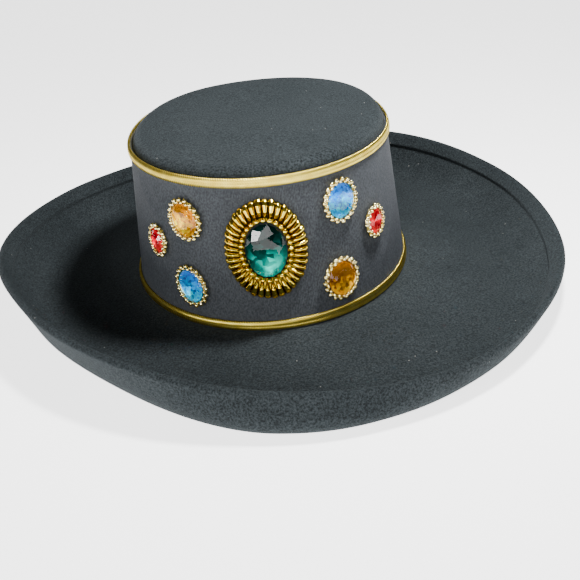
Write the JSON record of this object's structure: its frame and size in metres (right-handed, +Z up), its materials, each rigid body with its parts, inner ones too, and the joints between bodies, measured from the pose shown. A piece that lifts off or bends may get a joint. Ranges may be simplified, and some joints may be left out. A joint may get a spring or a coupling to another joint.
{
  "type": "wide-brim felt hat",
  "caption": "Wide-brim felt hat with a flat-topped oval crown, an upturned brim, and a ribbon band edged with gold braid and set with faceted oval jewels.",
  "frame": {"origin": "middle of the hat's plan outline, on the plane that the brim's underside rests on", "axes": "+Z up through the crown; -Y towards the front, where the large oval ornament is; +X to its right as seen from the front"},
  "size_m": [0.3634, 0.3992, 0.1069],
  "materials": {
    "felt": "matte black wool felt with a faint blue cast and fine fuzz",
    "ribbon": "slate-blue ribbed ribbon with a soft sheen",
    "braid": "gold metallic flat braid",
    "gold": "polished fluted gold",
    "pale_gold": "pale gold beads",
    "emerald_stone": "dark green cut glass",
    "orange_stone": "orange cut glass",
    "amber_stone": "amber cut glass",
    "blue_stone": "bright blue cut glass",
    "red_stone": "red cut glass"
  },
  "bodies": {
    "root": {"felt_body": "felt", "hat_band": "ribbon", "lower_trim": "braid", "upper_trim": "braid", "centre_setting": "gold", "centre_stone": "emerald_stone", "left_upper_setting": "pale_gold", "left_upper_stone": "orange_stone", "left_outer_setting": "pale_gold", "left_outer_stone": "red_stone", "left_lower_setting": "pale_gold", "left_lower_stone": "blue_stone", "right_upper_setting": "pale_gold", "right_upper_stone": "blue_stone", "right_outer_setting": "pale_gold", "right_outer_stone": "red_stone", "right_lower_setting": "pale_gold", "right_lower_stone": "amber_stone"}
  },
  "joints": []
}
